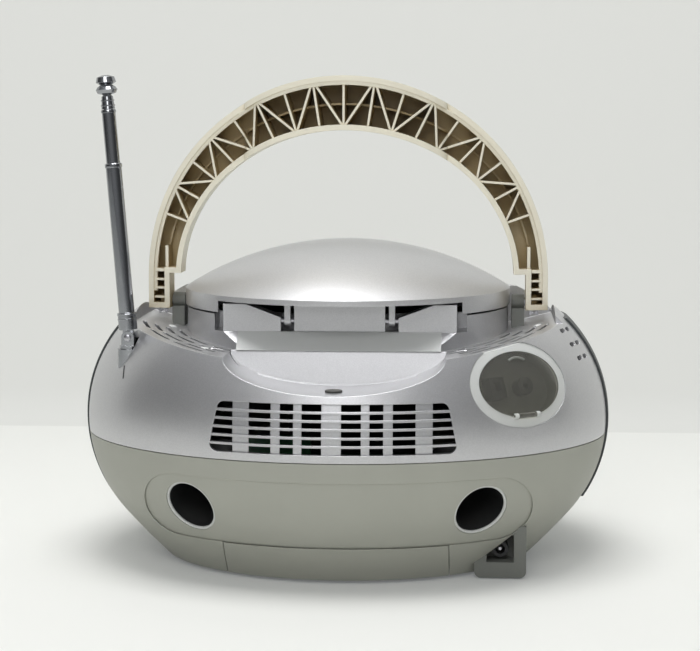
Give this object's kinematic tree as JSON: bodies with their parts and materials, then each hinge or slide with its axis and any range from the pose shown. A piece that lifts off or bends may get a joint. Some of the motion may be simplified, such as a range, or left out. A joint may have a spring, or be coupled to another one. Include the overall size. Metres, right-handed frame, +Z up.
{
  "type": "cd boombox",
  "caption": "Rounded portable stereo with a domed disc lid, folding arched handle, cassette deck, telescopic antenna, vents and bass ports.",
  "frame": {"origin": "on the table, under the middle of the bounding box", "axes": "+Z up; +Y towards the rear with the vent, ports and power inlet; -Y towards the loudspeakers; +X towards the antenna"},
  "size_m": [0.3084, 0.2668, 0.28],
  "materials": {
    "silver_paint": "metallic silver paint",
    "grey_shell": "plain warm light grey, fine matte grain",
    "handle_ivory": "ivory, smooth outside, duller in the ribbed cavity",
    "pale_trim": "pale grey, satin",
    "grille_dark": "dark grey, matte",
    "foot_grey": "darker grey, matte",
    "black_plastic": "black, matte",
    "speaker_steel": "pressed and plated sheet",
    "speaker_cone": "black paper cone with a rolled edge",
    "chrome": "bright plated tube",
    "pin_steel": "plain steel pin",
    "smoked": "smoked clear plastic, glossy",
    "board_green": "lacquered circuit board",
    "rubber": "soft black rubber"
  },
  "bodies": {
    "housing": {"antenna_socket": "chrome", "battery_box": "black_plastic", "cd_tray": "black_plastic", "display_module": "board_green", "display_window": "smoked", "front_panel": "grey_shell", "handle_bracket_left": "foot_grey", "handle_bracket_right": "foot_grey", "handle_pins": "pin_steel", "hinge_blocks": "silver_paint", "hinge_pins": "pin_steel", "inlet_boss": "black_plastic", "inlet_pin": "chrome", "jack_bezel": "pale_trim", "jack_well": "black_plastic", "link_jacks": "black_plastic", "lower_casing": "grey_shell", "main_board": "board_green", "power_inlet": "foot_grey", "rear_grille": "silver_paint", "reflex_port_left": "black_plastic", "reflex_port_right": "black_plastic", "rubber_pads": "rubber", "speaker_cone_left": "speaker_cone", "speaker_cone_right": "speaker_cone", "speaker_frame_left": "speaker_steel", "speaker_frame_right": "speaker_steel", "speaker_grille_left": "grille_dark", "speaker_grille_right": "grille_dark", "tape_well": "black_plastic", "transformer": "speaker_steel", "upper_casing": "silver_paint"},
    "carry_handle": {"handle": "handle_ivory"},
    "disc_lid": {"cd_lid": "silver_paint", "cd_lid_liner": "black_plastic"},
    "clamp": {"cd_clamp": "black_plastic"},
    "turntable": {"cd_turntable": "black_plastic"},
    "lens_carriage": {"cd_pickup": "black_plastic"},
    "antenna_swivel": {"antenna_knuckle": "chrome"},
    "antenna_lower": {"antenna_tube_1": "chrome"},
    "antenna_middle": {"antenna_tube_2": "chrome"},
    "antenna_tip": {"antenna_tube_3": "chrome"},
    "jack_flap": {"jack_cover": "smoked"},
    "battery_hatch": {"battery_door": "grey_shell"},
    "cassette_door": {"tape_door": "grey_shell", "tape_window": "smoked"},
    "spindle_left": {"tape_spindle_left": "black_plastic"},
    "spindle_right": {"tape_spindle_right": "black_plastic"},
    "volume": {"volume_knob": "pale_trim"},
    "lid_release": {"open_button": "pale_trim"},
    "key_1": {"tape_key_1": "pale_trim"},
    "key_2": {"tape_key_2": "pale_trim"},
    "key_3": {"tape_key_3": "pale_trim"},
    "key_4": {"tape_key_4": "pale_trim"},
    "key_5": {"tape_key_5": "pale_trim"},
    "button_1": {"play_button_1": "pale_trim"},
    "button_2": {"play_button_2": "pale_trim"},
    "button_3": {"play_button_3": "pale_trim"},
    "button_4": {"play_button_4": "pale_trim"}
  },
  "joints": [
    {"name": "handle_fold", "type": "hinge", "parent": "housing", "child": "carry_handle", "pos_m": [0, 0, 0.148], "axis": [-1, 0, 0], "range_deg": [0, 90]},
    {"name": "lid_hinge", "type": "hinge", "parent": "housing", "child": "disc_lid", "pos_m": [0, 0.065, 0.143], "axis": [-1, 0, 0], "range_deg": [0, 10]},
    {"name": "clamp_spin", "type": "hinge", "parent": "disc_lid", "child": "clamp", "pos_m": [0, 0, 0.152], "axis": [0, 0, 1], "continuous": true},
    {"name": "disc_spin", "type": "hinge", "parent": "housing", "child": "turntable", "pos_m": [0, 0, 0.125], "axis": [0, 0, 1], "continuous": true},
    {"name": "lens_slide", "type": "slide", "parent": "housing", "child": "lens_carriage", "axis": [-1, 0, 0], "range_m": [0, 0.028]},
    {"name": "antenna_turn", "type": "hinge", "parent": "housing", "child": "antenna_swivel", "pos_m": [0.1195, 0.066, 0.12], "axis": [0, 0, 1], "range_deg": [-20, 100]},
    {"name": "antenna_tilt", "type": "hinge", "parent": "antenna_swivel", "child": "antenna_lower", "pos_m": [0.1195, 0.066, 0.133], "axis": [0, 1, 0], "range_deg": [0, 75]},
    {"name": "antenna_middle_slide", "type": "slide", "parent": "antenna_lower", "child": "antenna_middle", "axis": [0.0767, 0, 0.9971], "range_m": [-0.026, 0.053]},
    {"name": "antenna_tip_slide", "type": "slide", "parent": "antenna_middle", "child": "antenna_tip", "axis": [0.0767, 0, 0.9971], "range_m": [0, 0.065]},
    {"name": "jack_flap_hinge", "type": "hinge", "parent": "housing", "child": "jack_flap", "pos_m": [-0.104, 0.09798, 0.09596], "axis": [-0.7882, -0.6154, 0], "range_deg": [0, 90]},
    {"name": "battery_hatch_slide", "type": "slide", "parent": "housing", "child": "battery_hatch", "axis": [0, 1, 0], "range_m": [0, 0.025]},
    {"name": "cassette_door_hinge", "type": "hinge", "parent": "housing", "child": "cassette_door", "pos_m": [0, -0.1223, 0.038], "axis": [1, 0, 0], "range_deg": [0, 25]},
    {"name": "spindle_left_spin", "type": "hinge", "parent": "housing", "child": "spindle_left", "pos_m": [0.02125, -0.102, 0.062], "axis": [0, 1, 0], "continuous": true},
    {"name": "spindle_right_spin", "type": "hinge", "parent": "housing", "child": "spindle_right", "pos_m": [-0.02125, -0.102, 0.062], "axis": [0, 1, 0], "continuous": true},
    {"name": "volume_turn", "type": "hinge", "parent": "housing", "child": "volume", "pos_m": [0, -0.11999, 0.128], "axis": [0, -0.8482, 0.5297], "range_deg": [-140, 140]},
    {"name": "lid_release_press", "type": "slide", "parent": "housing", "child": "lid_release", "axis": [0, 0.6407, -0.7678], "range_m": [0, 0.0015], "stiffness_N_per_m": 500},
    {"name": "key_1_press", "type": "slide", "parent": "housing", "child": "key_1", "axis": [0, 1, 0], "range_m": [0, 0.003], "stiffness_N_per_m": 500},
    {"name": "key_2_press", "type": "slide", "parent": "housing", "child": "key_2", "axis": [0, 1, 0], "range_m": [0, 0.003], "stiffness_N_per_m": 500},
    {"name": "key_3_press", "type": "slide", "parent": "housing", "child": "key_3", "axis": [0, 1, 0], "range_m": [0, 0.003], "stiffness_N_per_m": 500},
    {"name": "key_4_press", "type": "slide", "parent": "housing", "child": "key_4", "axis": [0, 1, 0], "range_m": [0, 0.003], "stiffness_N_per_m": 500},
    {"name": "key_5_press", "type": "slide", "parent": "housing", "child": "key_5", "axis": [0, 1, 0], "range_m": [0, 0.003], "stiffness_N_per_m": 500},
    {"name": "button_1_press", "type": "slide", "parent": "housing", "child": "button_1", "axis": [0.2204, 0.8176, -0.532], "range_m": [0, 0.0015], "stiffness_N_per_m": 500},
    {"name": "button_2_press", "type": "slide", "parent": "housing", "child": "button_2", "axis": [0.141, 0.8358, -0.5306], "range_m": [0, 0.0015], "stiffness_N_per_m": 500},
    {"name": "button_3_press", "type": "slide", "parent": "housing", "child": "button_3", "axis": [-0.141, 0.8358, -0.5306], "range_m": [0, 0.0015], "stiffness_N_per_m": 500},
    {"name": "button_4_press", "type": "slide", "parent": "housing", "child": "button_4", "axis": [-0.2204, 0.8176, -0.532], "range_m": [0, 0.0015], "stiffness_N_per_m": 500}
  ]
}
